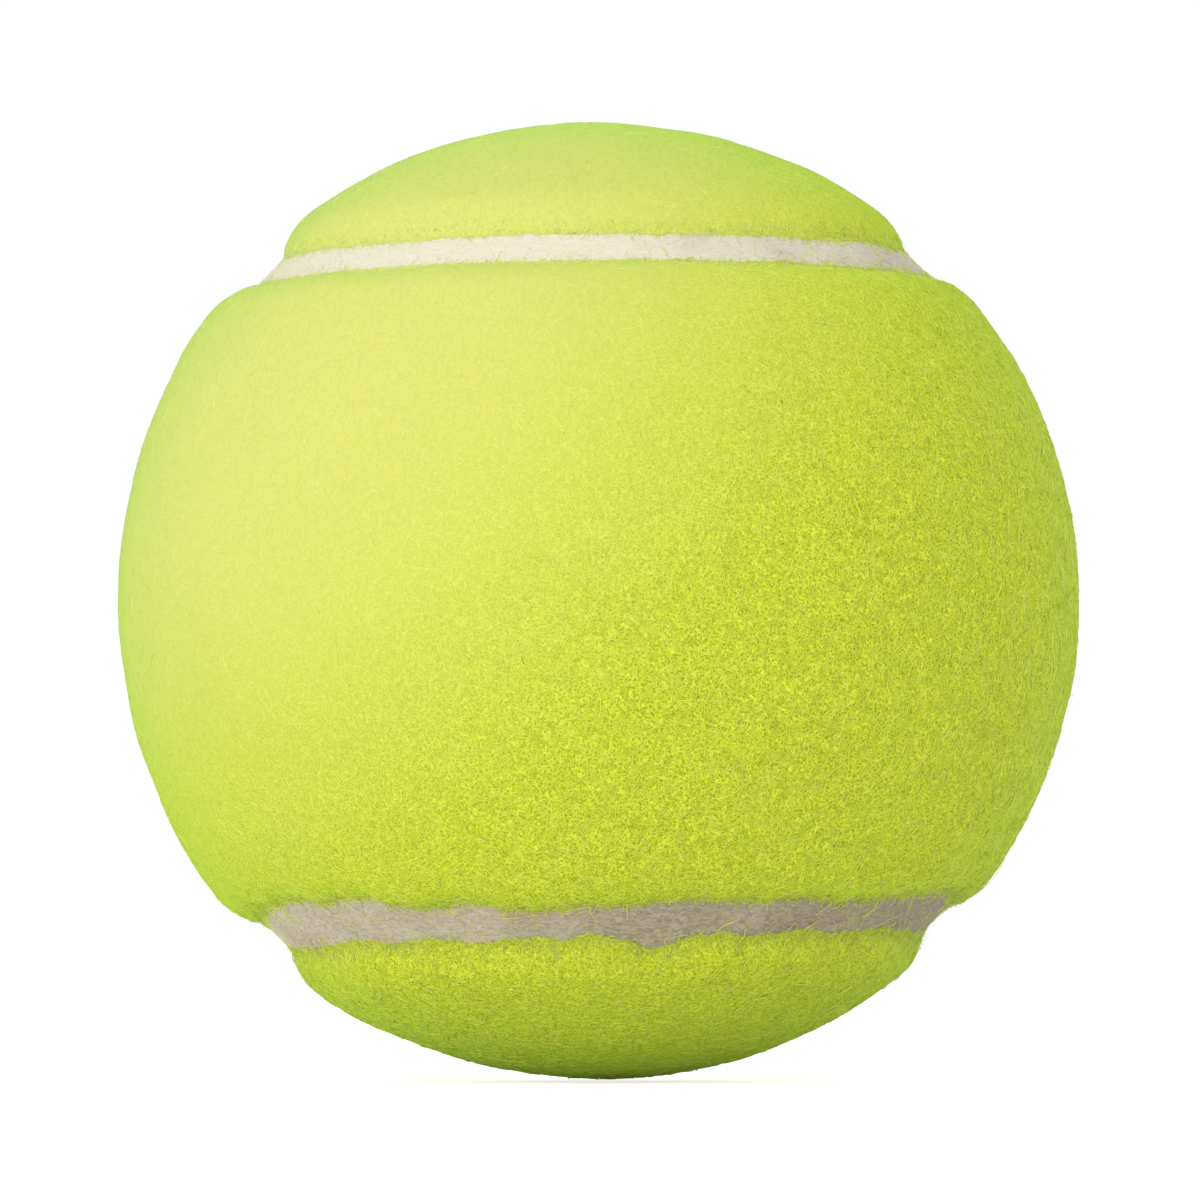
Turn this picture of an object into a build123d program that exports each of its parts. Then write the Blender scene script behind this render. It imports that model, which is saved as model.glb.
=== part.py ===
"""Tennis ball: a sealed rubber core wrapped in two dumbbell felt panels.

Millimetres, +Z up, with the origin at the ball's centre. The front is -Y, where the neck of the
front panel lies between an upper and a lower stretch of the seam. Its two lobes wrap round the
sides to the back. The rear panel is the same piece, with its lobes on top and underneath.
"""

import os
from math import acos, asin, cos, degrees, radians, sin

from build123d import *

# Driving sizes
ball_diameter = 67.0
felt_thickness = 3.2
panel_cement_thickness = 0.2
core_wall = 3.4
core_joint_thickness = 0.25
core_joint_bead_radius = 0.6
seam_width = 2.7
seam_recess = 1.25
felt_shoulder_radius = 4.75

# Radii of the layers, from the nap inwards
ball_radius = ball_diameter / 2
seam_radius = ball_radius - seam_recess
felt_back_radius = ball_radius - felt_thickness
core_radius = felt_back_radius - panel_cement_thickness
core_cavity_radius = core_radius - core_wall

# Turns that carry a section of the XZ plane to the front about Z, and to the back about X
quarter_turn = 90.0
half_turn = 180.0
centre = (0, 0, 0)
turn_to_front = Axis(centre, (0, 0, -1))
turn_to_back = Axis(centre, (-1, 0, 0))
# Half a turn about this line carries a panel from the front to the back, and its lobes from X to Z
panel_swap_axis = Axis(centre, (1, 0, 1))

# The seam is four half circles. In the XZ plane it crosses each quarter at this angle up from X,
# with the front panel below the crossing and the rear panel above it. At 45 degrees they are alike.
seam_latitude = 45.0
seam_half_angle = degrees(asin(seam_width / 2 / seam_radius))
front_half_angle = seam_latitude - seam_half_angle
rear_half_angle = quarter_turn - seam_latitude - seam_half_angle

# A felt panel's face rolls down to the seam on an arc that spans this angle beside the edge
shoulder_centre_radius = ball_radius - felt_shoulder_radius
shoulder_angle = degrees(
    acos(
        (shoulder_centre_radius**2 + seam_radius**2 - felt_shoulder_radius**2)
        / (2 * shoulder_centre_radius * seam_radius)
    )
)


def polar(radius, angle):
    """The point of the XZ plane at this radius, with its angle counted up from +X."""
    return (radius * cos(radians(angle)), radius * sin(radians(angle)))


def ring_sector(inner_radius, outer_radius, low_angle, high_angle):
    """A section between two radii and two angles, for a layer with a plain face."""
    with BuildSketch(Plane.XZ) as section:
        with BuildLine():
            outer = CenterArc((0, 0), outer_radius, low_angle, high_angle - low_angle)
            inner = CenterArc((0, 0), inner_radius, low_angle, high_angle - low_angle)
            Line(inner @ 0, outer @ 0)
            Line(inner @ 1, outer @ 1)
        make_face()
    return section.sketch


def felt_section(half_angle):
    """Half of a felt panel's section: its crown, and the shoulder that rolls down to its edge."""
    with BuildSketch(Plane.XZ) as section:
        with BuildLine():
            crown = CenterArc((0, 0), ball_radius, 0, half_angle - shoulder_angle)
            edge = polar(seam_radius, half_angle)
            shoulder = TangentArc(crown @ 1, edge, tangent=crown % 1)
            back = CenterArc((0, 0), felt_back_radius, 0, half_angle)
            Line(back @ 0, crown @ 0)
            Line(back @ 1, shoulder @ 1)
        make_face()
    return section.sketch


def wrap(section):
    """Sweeps a section of the upper right quarter along the seam's path, all round the ball."""
    revolve(section, axis=turn_to_front, revolution_arc=quarter_turn)
    revolve(section, axis=turn_to_back, revolution_arc=quarter_turn)
    mirror(about=Plane.YZ)
    mirror(about=Plane.XY)


def finish(piece, label):
    """Names a finished piece and writes its file."""
    piece.part.label = label
    export_step(piece.part, f"parts/{label}.step")


os.makedirs("parts", exist_ok=True)

# Core: two moulded half shells
with BuildPart() as core_half_upper:
    Sphere(core_radius)
    Sphere(core_cavity_radius, mode=Mode.SUBTRACT)
    split(bisect_by=Plane.XY.offset(core_joint_thickness / 2), keep=Keep.TOP)
finish(core_half_upper, "core_half_upper")

with BuildPart() as core_half_lower:
    add(mirror(core_half_upper.part, about=Plane.XY, mode=Mode.PRIVATE))
finish(core_half_lower, "core_half_lower")

# Cement that joins the half shells rim to rim, with the bead that squeezes out into the cavity
with BuildPart() as core_joint_cement:
    Sphere(core_radius)
    Sphere(core_cavity_radius, mode=Mode.SUBTRACT)
    split(bisect_by=Plane.XY.offset(core_joint_thickness / 2), keep=Keep.BOTTOM)
    split(bisect_by=Plane.XY.offset(-core_joint_thickness / 2), keep=Keep.TOP)
    with BuildSketch(Plane.XZ):
        with Locations((core_cavity_radius, 0)):
            Circle(core_joint_bead_radius)
        Circle(core_cavity_radius, mode=Mode.INTERSECT)
    revolve(axis=Axis.Z)
finish(core_joint_cement, "core_joint_cement")

# Coat of rubber cement on the back of each felt panel
with BuildPart() as panel_cement_front:
    wrap(ring_sector(core_radius, felt_back_radius, 0, front_half_angle))
finish(panel_cement_front, "panel_cement_front")

with BuildPart() as rear_cement_facing_front:
    wrap(ring_sector(core_radius, felt_back_radius, 0, rear_half_angle))
with BuildPart() as panel_cement_rear:
    add(rear_cement_facing_front.part.rotate(panel_swap_axis, half_turn))
finish(panel_cement_rear, "panel_cement_rear")

# Felt panels, crowned in the middle and rolled down to the seam along their edges
with BuildPart() as felt_panel_front:
    wrap(felt_section(front_half_angle))
finish(felt_panel_front, "felt_panel_front")

with BuildPart() as rear_felt_facing_front:
    wrap(felt_section(rear_half_angle))
with BuildPart() as felt_panel_rear:
    add(rear_felt_facing_front.part.rotate(panel_swap_axis, half_turn))
finish(felt_panel_rear, "felt_panel_rear")

# Seam: one endless band of cured rubber from the core up to the panels' rolled edges
with BuildPart() as seam_rubber:
    wrap(ring_sector(core_radius, seam_radius, front_half_angle, quarter_turn - rear_half_angle))
finish(seam_rubber, "seam_rubber")
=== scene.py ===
"""Tennis ball, dressed: napped felt panels, the recessed rubber seam and the core inside.

Metres, +Z up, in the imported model's own frame, with the ball's centre at the origin and the neck of
the front felt panel towards -Y. The ball's radii and the seam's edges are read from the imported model.
"""

import logging
from dataclasses import dataclass, field
from enum import Enum
from math import acos, atan2, cos, hypot, pi, radians, sin, sqrt

import bmesh
import bpy
import numpy as np
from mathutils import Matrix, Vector


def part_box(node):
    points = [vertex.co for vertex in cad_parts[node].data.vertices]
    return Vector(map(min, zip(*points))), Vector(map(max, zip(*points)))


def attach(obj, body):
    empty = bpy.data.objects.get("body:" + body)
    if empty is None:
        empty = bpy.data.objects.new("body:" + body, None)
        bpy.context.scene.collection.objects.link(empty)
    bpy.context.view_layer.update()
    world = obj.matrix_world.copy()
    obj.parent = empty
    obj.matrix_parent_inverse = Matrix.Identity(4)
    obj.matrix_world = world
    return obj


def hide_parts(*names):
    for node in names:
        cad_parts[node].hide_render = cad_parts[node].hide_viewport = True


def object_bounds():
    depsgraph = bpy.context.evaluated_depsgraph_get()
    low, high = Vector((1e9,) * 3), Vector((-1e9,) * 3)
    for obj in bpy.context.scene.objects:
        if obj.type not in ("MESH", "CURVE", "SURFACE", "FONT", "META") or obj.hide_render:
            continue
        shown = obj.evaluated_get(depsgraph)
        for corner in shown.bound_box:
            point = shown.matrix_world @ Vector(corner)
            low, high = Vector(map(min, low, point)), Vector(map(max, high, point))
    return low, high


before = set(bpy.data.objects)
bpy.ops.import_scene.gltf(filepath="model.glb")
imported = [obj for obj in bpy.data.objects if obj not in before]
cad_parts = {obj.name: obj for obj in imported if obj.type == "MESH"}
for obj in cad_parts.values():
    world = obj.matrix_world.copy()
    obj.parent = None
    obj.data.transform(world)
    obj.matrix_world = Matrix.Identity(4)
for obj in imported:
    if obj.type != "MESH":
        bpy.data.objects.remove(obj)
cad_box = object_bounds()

log = logging.getLogger("tennis_ball")

Array = np.ndarray
Colour = tuple[float, float, float]
Material = bpy.types.Material
Mesh = bpy.types.Mesh
Piece = bpy.types.Object
Socket = bpy.types.NodeSocket
Input = Socket | Vector | Colour | float

BODY = "root"
BAKE_MAP = "OFBake"
COURSE_MAP = "course"
CREASE = radians(50)
GOLDEN_TURN = pi * (3 - sqrt(5))
WHITE: Colour = (1.0, 1.0, 1.0)


class Panel(Enum):
    """The two felt panels, each by the name of its place."""

    FRONT = "front"
    REAR = "rear"

    @property
    def number(self) -> int:
        """0 for the front panel and 1 for the rear one."""
        return list(Panel).index(self)


class SeamArc(Enum):
    """The seam's four half circles, in the order in which they join end to end."""

    UPPER_FRONT = "upper front"
    LEFT_BACK = "left back"
    LOWER_FRONT = "lower front"
    RIGHT_BACK = "right back"


def unit(vectors: Array) -> Array:
    """Rows of the array, each brought to length 1."""
    return vectors / np.linalg.norm(vectors, axis=-1, keepdims=True)


def smooth_step(low: float, high: float, values: Array) -> Array:
    """Rises from 0 at low to 1 at high, level at both ends."""
    share = np.clip((values - low) / (high - low), 0, 1)
    return share * share * (3 - 2 * share)


def from_viewer(azimuth: float, elevation: float) -> Vector:
    """Direction from the ball: azimuth degrees to the viewer's right, elevation above the horizon."""
    a, e = radians(azimuth), radians(elevation)
    return Vector((sin(a) * cos(e), -cos(a) * cos(e), sin(e)))


def grey(level: float) -> Colour:
    """A grey of this level, from 0, black, to 1, white."""
    return (level, level, level)


@dataclass(frozen=True)
class WaveField:
    """A smooth random field in space: a sum of plane waves of about one length.

    Attributes:
        wavelength: Middle length of the waves.
        seed: Start of the random draw.
        waves: How many waves are added up.
        rates: Slowest and fastest wave, against one of the middle length.
    """

    wavelength: float
    seed: int
    waves: int = 36
    rates: tuple[float, float] = (0.7, 1.4)

    def at(self, places: Array) -> Array:
        """Reads the field.

        Args:
            places: Points, one in each row.

        Returns:
            One value for each point, with a mean near 0 and a spread near 1.
        """
        rng = np.random.default_rng(self.seed)
        ways = unit(rng.normal(size=(self.waves, 3)))
        turns = ways * rng.uniform(*self.rates, (self.waves, 1)) * (2 * pi / self.wavelength)
        phases = rng.uniform(0, 2 * pi, self.waves)
        total = np.zeros(len(places))
        for turn, phase in zip(turns, phases):
            total += np.cos(places @ turn + phase)
        return total * sqrt(2 / self.waves)


@dataclass(frozen=True)
class Relief:
    """Random unevenness in layers, from broad to fine.

    Attributes:
        heights: Height of each layer.
        wavelengths: Length of its waves.
        seed: Start of the first layer's random draw, from which the others count up.
    """

    heights: tuple[float, ...]
    wavelengths: tuple[float, ...]
    seed: int

    def at(self, places: Array) -> Array:
        """Height of the relief at each place."""
        layers = enumerate(zip(self.heights, self.wavelengths), self.seed)
        return sum(height * WaveField(length, seed).at(places) for seed, (height, length) in layers)


@dataclass(frozen=True)
class EdgeDent:
    """A place on the lower front stretch of the seam where a felt edge leaves its even course.

    Attributes:
        panel: The panel that the edge belongs to.
        place: Distance to the right of the ball's middle.
        width: Half length of the dent.
        reach: How far the felt comes out over the seam, or below 0 draws back from it.
    """

    panel: Panel
    place: float
    width: float
    reach: float


@dataclass(frozen=True)
class BallShape:
    """The ball's layers, its seam's course and the felt's relief.

    A place on the ball is a direction from its centre. Its section angle is counted from the middle
    line of the front panel, 0, to that of the rear panel, a quarter turn, and the seam lies where it
    is halfway.

    Attributes:
        ball_radius: Outside of the nap.
        seam_radius: Face of the seam rubber.
        felt_back_radius: Back of the felt.
        core_radius: Outside of the core.
        edges: Section angles of the front and the rear panel's edge.
        nap_depth: How far the felt's ground lies below the nap's outside.
        shoulder_radius: Radius on which the felt rolls down to the seam.
        edge_rise: How far the felt's edge stands above the seam rubber's face.
        edge_blend: Distance over which the felt comes up from there.
        seam_lean: How far the upper and the lower stretch of the seam run askew.
        edge_waves: Waves along the front and the rear panel's edge.
        edge_calm: Height of these waves at the ball's middle, and how much less it is at the top.
        edge_dents: Single dents in the edges along the lower front.
        lower_reach: How far the front and the rear panel come out over the seam along the lower front.
        lower_blend: Depth in front of the ball's middle, in radii, where that and the dents are complete.
        puff: How far the felt stands out beside its rolled edge.
        puff_place: Distance of that swelling from the edge.
        puff_lean: Its share at the ball's middle, and how much less it is on the right.
        puff_wave: What is added to that share at random.
        flattening: How much lower the felt stands on top and underneath.
        flat_height: Heights, in radii, between which that sets in.
        flat_side: Places to the right, in radii, between which it sets in on top.
        flat_below: Factor from a place to the right underneath to its match on top.
        lump: The felt's unevenness.
        seam_lump: The seam rubber's unevenness.
        probe: Step over which a slope is read.
    """

    ball_radius: float
    seam_radius: float
    felt_back_radius: float
    core_radius: float
    edges: tuple[float, float]
    nap_depth: float = 0.00010
    shoulder_radius: float = 0.00475
    edge_rise: float = 0.00002
    edge_blend: float = 0.0009
    seam_lean: tuple[float, float] = (0.0007, 0.0018)
    edge_waves: tuple[Relief, Relief] = (
        Relief((0.00015, 0.00008), (0.0075, 0.0021), seed=11),
        Relief((0.00015, 0.00008), (0.0075, 0.0021), seed=21),
    )
    edge_calm: tuple[float, float] = (0.8, 0.5)
    edge_dents: tuple[EdgeDent, ...] = (
        EdgeDent(Panel.FRONT, -0.0170, 0.0050, -0.00115),
        EdgeDent(Panel.FRONT, -0.0089, 0.0018, -0.00020),
        EdgeDent(Panel.FRONT, -0.0026, 0.0018, 0.00070),
        EdgeDent(Panel.REAR, -0.0117, 0.0022, 0.00060),
        EdgeDent(Panel.REAR, 0.0032, 0.0025, -0.00085),
    )
    lower_reach: tuple[float, float] = (-0.0007, 0.0002)
    lower_blend: float = 0.3
    puff: float = 0.00014
    puff_place: float = 0.0052
    puff_lean: tuple[float, float] = (0.6, 0.9)
    puff_wave: Relief = Relief((0.2,), (0.021,), seed=31)
    flattening: float = 0.00024
    flat_height: tuple[float, float] = (0.8, 1.0)
    flat_side: tuple[float, float] = (-0.35, 0.15)
    flat_below: float = -0.6
    lump: Relief = Relief((0.00003, 0.00001, 0.000005), (0.0085, 0.0034, 0.0013), seed=41)
    seam_lump: Relief = Relief((0.00002, 0.00001), (0.0028, 0.0009), seed=51)
    probe: float = 0.00012

    @classmethod
    def from_frame(cls) -> "BallShape":
        """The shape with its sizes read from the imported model."""
        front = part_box("felt_panel_front")[1]
        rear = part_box("felt_panel_rear")[1]
        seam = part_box("seam_rubber")[1]
        return cls(
            ball_radius=front.x,
            seam_radius=hypot(seam.x, front.z),
            felt_back_radius=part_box("panel_cement_front")[1].x,
            core_radius=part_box("core_half_upper")[1].x,
            edges=(atan2(front.z, seam.x), atan2(seam.z, rear.x)),
        )

    @property
    def seam_angle(self) -> float:
        """Section angle of the seam's middle line."""
        return sum(self.edges) / 2

    @property
    def shoulder_angle(self) -> float:
        """Angle, seen from the ball's centre, that the rolled edge takes up."""
        middle = self.ball_radius - self.shoulder_radius
        rise = middle**2 + self.seam_radius**2 - self.shoulder_radius**2
        return acos(rise / (2 * middle * self.seam_radius))

    def section_angle(self, ways: Array) -> Array:
        """Section angle of each direction: its height in front, its angle from X at the back."""
        in_front = np.arcsin(np.clip(np.abs(ways[:, 2]), 0, 1))
        behind = np.arccos(np.clip(np.abs(ways[:, 0]), 0, 1))
        return np.where(ways[:, 1] < 0, in_front, behind)

    def seam_foot(self, ways: Array) -> Array:
        """The nearest point of the seam's middle line to each direction, on the seam's face."""
        x, y, z = ways.T
        level = np.maximum(np.hypot(x, y), 1e-9)
        upright = np.maximum(np.hypot(y, z), 1e-9)
        c, s = cos(self.seam_angle), sin(self.seam_angle)
        in_front = np.stack([c * x / level, c * y / level, s * np.sign(z)], 1)
        behind = np.stack([c * np.sign(x), s * y / upright, s * z / upright], 1)
        return self.seam_radius * np.where((y < 0)[:, None], in_front, behind)

    def edge_angle(self, ways: Array, panel: Panel) -> Array:
        """Section angle of a panel's wavy edge beside each direction.

        Args:
            ways: Directions.
            panel: The panel that the edge belongs to.

        Returns:
            One angle for each direction.
        """
        foot = self.seam_foot(ways)
        x, y, z = foot.T / self.seam_radius
        calm, less = self.edge_calm
        wave = self.edge_waves[panel.number].at(foot) * (calm - less * z)
        upper, lower = self.seam_lean
        askew = np.where(z > 0, upper, lower) * x * z
        reach = self.lower_reach[panel.number]
        for dent in self.edge_dents:
            if dent.panel is panel:
                reach = reach + dent.reach * np.exp(-(((foot[:, 0] - dent.place) / dent.width) ** 2))
        outward = 1 if panel is Panel.FRONT else -1
        below = smooth_step(0.0, self.lower_blend, -y) * (z < 0)
        return self.edges[panel.number] + (wave + askew + outward * reach * below) / self.seam_radius

    def inset(self, ways: Array, panel: Panel) -> Array:
        """Distance of each direction inside a panel's edge, and below 0 outside the panel."""
        turn = self.edge_angle(ways, panel) - self.section_angle(ways)
        return self.seam_radius * (turn if panel is Panel.FRONT else -turn)

    def felt_radius(self, ways: Array, panel: Panel) -> Array:
        """Radius of a panel's ground, under its nap.

        Args:
            ways: Directions.
            panel: The panel.

        Returns:
            One radius for each direction, which at the panel's edge is just above the seam's face.
        """
        x, _, z = ways.T
        places = ways * self.ball_radius
        inset = self.inset(ways, panel)
        shoulder = self.shoulder_angle
        bend = np.clip(shoulder - inset / self.seam_radius, 0, shoulder)
        middle = self.ball_radius - self.shoulder_radius
        rolled = middle * np.cos(bend) + np.sqrt(self.shoulder_radius**2 - (middle * np.sin(bend)) ** 2)
        swell = np.exp(-(((inset - self.puff_place) / self.puff_place) ** 2))
        share, less = self.puff_lean
        uneven = share - less * x + self.puff_wave.at(places)
        flat = smooth_step(*self.flat_height, np.abs(z))
        flat = flat * smooth_step(*self.flat_side, np.where(z > 0, x, self.flat_below * x))
        relief = self.puff * swell * uneven - self.flattening * flat + self.lump.at(places)
        edge = self.seam_radius + self.edge_rise
        ground = rolled - self.nap_depth + relief
        return edge + (ground - edge) * smooth_step(0, self.edge_blend, inset)

    def seam_face(self, ways: Array) -> Array:
        """Radius of the seam rubber's slightly uneven face."""
        return self.seam_radius + self.seam_lump.at(ways * self.seam_radius)

    def skin_radius(self, ways: Array) -> Array:
        """Radius of whatever lies on top at each direction: felt ground or seam rubber."""
        skin = self.seam_face(ways)
        for panel in Panel:
            inside = self.inset(ways, panel) > 0
            skin[inside] = np.maximum(self.felt_radius(ways[inside], panel), skin[inside])
        return skin

    def skin(self, ways: Array) -> tuple[Array, Array]:
        """The skin's radius at each direction, and the way it faces there."""
        radius = self.skin_radius(ways)
        foot = unit(self.seam_foot(ways))
        toward = foot - (foot * ways).sum(1, keepdims=True) * ways
        toward /= np.maximum(np.linalg.norm(toward, axis=1, keepdims=True), 1e-6)
        beside = unit(ways * self.seam_radius + toward * self.probe)
        slope = (self.skin_radius(beside) - radius) / self.probe
        return radius, unit(ways - slope[:, None] * toward)


def new_mesh(name: str, vertices: Array, *face_groups: Array) -> Mesh:
    """Makes a smooth mesh from arrays.

    Args:
        name: Name of the mesh.
        vertices: Places, one in each row.
        face_groups: Vertex numbers of faces, one face in each row, with one width in each group.

    Returns:
        The mesh.
    """
    corners = np.concatenate([group.ravel() for group in face_groups]).astype(np.int32)
    widths = np.concatenate([np.full(len(group), group.shape[1]) for group in face_groups])
    starts = np.concatenate([[0], np.cumsum(widths)[:-1]]).astype(np.int32)
    mesh = bpy.data.meshes.new(name)
    mesh.vertices.add(len(vertices))
    mesh.vertices.foreach_set("co", np.ascontiguousarray(vertices, np.float32).ravel())
    mesh.loops.add(len(corners))
    mesh.loops.foreach_set("vertex_index", corners)
    mesh.polygons.add(len(starts))
    mesh.polygons.foreach_set("loop_start", starts)
    mesh.update(calc_edges=True)
    mesh.shade_smooth()
    return mesh


def grid_quads(number: Array) -> Array:
    """Quads of a grid of vertex numbers."""
    corners = [number[:-1, :-1], number[1:, :-1], number[1:, 1:], number[:-1, 1:]]
    return np.stack(corners, -1).reshape(-1, 4)


def face_outwards(mesh: Mesh) -> None:
    """Turns the faces of a closed mesh outwards, and keeps its corners crisp."""
    shell = bmesh.new()
    shell.from_mesh(mesh)
    bmesh.ops.recalc_face_normals(shell, faces=shell.faces)
    shell.to_mesh(mesh)
    shell.free()
    mesh.set_sharp_from_angle(angle=CREASE)


def add_map(mesh: Mesh, name: str, across: Array, along: Array) -> None:
    """Lays a map over a mesh, from two coordinates for each face corner."""
    layer = mesh.uv_layers.new(name=name)
    layer.uv.foreach_set("vector", np.stack([across, along], 1).astype(np.float32).ravel())


def add_object(data: bpy.types.ID) -> Piece:
    """Puts a mesh, a lamp or a camera in the scene, as an object of the same name."""
    thing = bpy.data.objects.new(data.name, data)
    bpy.context.scene.collection.objects.link(thing)
    return thing


def add_piece(mesh: Mesh, material: Material) -> Piece:
    """Puts a mesh in the scene as a piece that rides on the ball.

    Args:
        mesh: The finished mesh, in the row frame.
        material: Its finish.

    Returns:
        The new object, named like its mesh.
    """
    piece = add_object(mesh)
    mesh.materials.append(material)
    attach(piece, BODY)
    log.info("%s: %d faces", piece.name, len(mesh.polygons))
    return piece


def aim(thing: Piece, place: Vector) -> None:
    """Puts a lamp or a camera at a place, looking at the ball's centre."""
    thing.location = place
    thing.rotation_euler = (-place).to_track_quat("-Z", "Y").to_euler()


@dataclass(frozen=True)
class NapLay:
    """A slow change of the nap over the ball, from 0 on one side to 1 on the other.

    Attributes:
        azimuth: Middle of the changed side, in degrees to the right of the viewer.
        elevation: The same, in degrees above the horizon.
        start: Distance along that direction at which the change starts.
        end: Distance at which it is complete.
    """

    azimuth: float
    elevation: float
    start: float
    end: float

    def way(self) -> Vector:
        """Direction of the middle of the changed side."""
        return from_viewer(self.azimuth, self.elevation)

    def at(self, places: Array) -> Array:
        """How far the change has gone at each place."""
        return smooth_step(self.start, self.end, places @ np.array(self.way()))


# The brushed side, on the upper left where the light falls: a real flatter nap, with lighter, evener
# colour as painted highlight
BRUSHED_AND_HIGHLIGHT = NapLay(azimuth=-92.0, elevation=47.0, start=-0.015, end=0.021)
# The pale side, facing the light on the upper left: paler, whiter felt and fibres as painted highlight
PAINTED_HIGHLIGHT = NapLay(azimuth=-64.0, elevation=42.0, start=0.002, end=0.032)


class NodeGraph:
    """A node tree, with short calls that add nodes and join them."""

    def __init__(self, tree: bpy.types.NodeTree) -> None:
        """Takes up a node tree.

        Args:
            tree: Tree of a material or of the world.
        """
        self.nodes = tree.nodes
        self.links = tree.links

    def put(self, socket: Socket, value: Input) -> None:
        """Gives an input its value: a link from an output, an opaque colour, a vector or a number."""
        if isinstance(value, Socket):
            self.links.new(value, socket)
        else:
            socket.default_value = (*value, 1) if socket.type == "RGBA" else value

    def add(
        self, kind: str, inputs: dict[str | int, Input] | None = None, **options: str
    ) -> bpy.types.Node:
        """Adds a node.

        Args:
            kind: Blender's name of the node, after ShaderNode.
            inputs: What goes into its inputs.
            options: Its other settings.

        Returns:
            The node.
        """
        node = self.nodes.new(f"ShaderNode{kind}")
        for option, value in options.items():
            setattr(node, option, value)
        for key, value in (inputs or {}).items():
            self.put(node.inputs[key], value)
        return node

    def maths(self, operation: str, first: Socket, second: Socket | float = 0.0) -> Socket:
        """The result of one of Blender's maths operations on an output and an output or a number."""
        return self.add("Math", {0: first, 1: second}, operation=operation).outputs[0]

    def toward(self, places: Socket, way: Vector | Colour) -> Socket:
        """How far each place lies along a direction, times the direction's length."""
        return self.add("VectorMath", {0: places, 1: way}, operation="DOT_PRODUCT").outputs["Value"]

    def rise(self, value: Socket, start: float, end: float, way: str = "SMOOTHSTEP") -> Socket:
        """Rises from 0, where the value is start, to 1, where it is end, and stays level beyond."""
        inputs = {"Value": value, "From Min": start, "From Max": end}
        return self.add("MapRange", inputs, interpolation_type=way).outputs["Result"]

    def blend(self, share: Input, first: Input, second: Input, way: str = "MIX") -> Socket:
        """Lays a share of the second colour over the first, in one of Blender's ways."""
        inputs = {0: share, 6: first, 7: second}
        return self.add("Mix", inputs, data_type="RGBA", blend_type=way).outputs[2]

    def seen(self) -> Socket:
        """1 for what the camera sees, in gloss and through glass too, and 0 for light on the ball."""
        path = self.add("LightPath").outputs
        glossy = self.maths("MAXIMUM", path["Is Camera Ray"], path["Is Glossy Ray"])
        return self.maths("MAXIMUM", glossy, path["Is Transmission Ray"])


class FinishGraph(NodeGraph):
    """A material's node tree, around one principled shader."""

    def __init__(self, name: str) -> None:
        """Starts a material.

        Args:
            name: Name of the material.
        """
        self.material = bpy.data.materials.new(name)
        self.material.use_nodes = True
        super().__init__(self.material.node_tree)
        self.shader = self.nodes["Principled BSDF"]

    def dress(self, values: dict[str, Input]) -> Material:
        """Sets the shader's inputs by their names, and gives back the material."""
        for key, value in values.items():
            self.put(self.shader.inputs[key], value)
        return self.material

    def places(self) -> Socket:
        """Places on the piece, in metres in the row frame."""
        return self.add("TexCoord").outputs["Object"]

    def chart(self, name: str) -> Socket:
        """Places on one of the piece's maps."""
        return self.add("UVMap", uv_map=name).outputs["UV"]

    def noise(
        self, places: Socket, size: float, detail: float = 0.0, shift: float = 0.0, warp: float = 0.0
    ) -> Socket:
        """Adds a noise field.

        Args:
            places: Where it is read.
            size: Length of one of its lumps.
            detail: How many finer layers it has.
            shift: Distance that tells one field from another.
            warp: How far it folds into itself.

        Returns:
            Values from 0 to 1 around 0.5.
        """
        aside = (shift, 0.37 * shift, -0.61 * shift)
        moved = self.add("VectorMath", {0: places, 1: aside}, operation="ADD").outputs[0]
        inputs = {"Vector": moved, "Scale": 1 / size, "Detail": detail, "Distortion": warp}
        return self.add("TexNoise", inputs).outputs["Fac"]

    def strands(self, places: Socket, curl: float, width: float, shift: float) -> Socket:
        """Adds curly strands, which run where a noise field passes its middle value.

        Args:
            places: Where they are read.
            curl: Length of one curl.
            width: Half width of a strand, as a share of the field's rise.
            shift: Distance that tells one set of strands from another.

        Returns:
            1 along the middle of each strand, falling to 0 beside it.
        """
        off = self.maths("SUBTRACT", self.noise(places, curl, shift=shift, warp=0.3), 0.5)
        return self.rise(self.maths("ABSOLUTE", off), width, 0.0)

    def lay(self, places: Socket, change: NapLay) -> Socket:
        """How far a change of the nap has gone at each place, the same as it tells the fibres."""
        return self.rise(self.toward(places, change.way()), change.start, change.end)

    def ramp(self, value: Socket, *stops: tuple[float, Colour]) -> Socket:
        """Adds a colour ramp.

        Args:
            value: What drives it, from 0 to 1.
            stops: Places on the ramp and their colours, from low to high.

        Returns:
            The colour.
        """
        node = self.add("ValToRGB", {"Fac": value})
        elements = node.color_ramp.elements
        for element, (place, colour) in zip(elements, (stops[0], stops[-1])):
            element.position = place
            element.color = (*colour, 1)
        for place, colour in stops[1:-1]:
            elements.new(place).color = (*colour, 1)
        return node.outputs["Color"]

    def bump(self, height: Socket, depth: float) -> Socket:
        """Normals of a surface raised by a height from 0 to 1 that is worth depth in metres."""
        return self.add("Bump", {"Height": height, "Distance": depth}).outputs["Normal"]


# Gloss of the nap, with the sheen of its finest fibres, which shows where the felt turns away
NAP_GLOSS: dict[str, Input] = {
    "Specular IOR Level": 0.3,
    "Sheen Weight": 0.55,
    "Sheen Roughness": 0.4,
    "Sheen Tint": (0.30, 1.0, 0.10),
}


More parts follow.
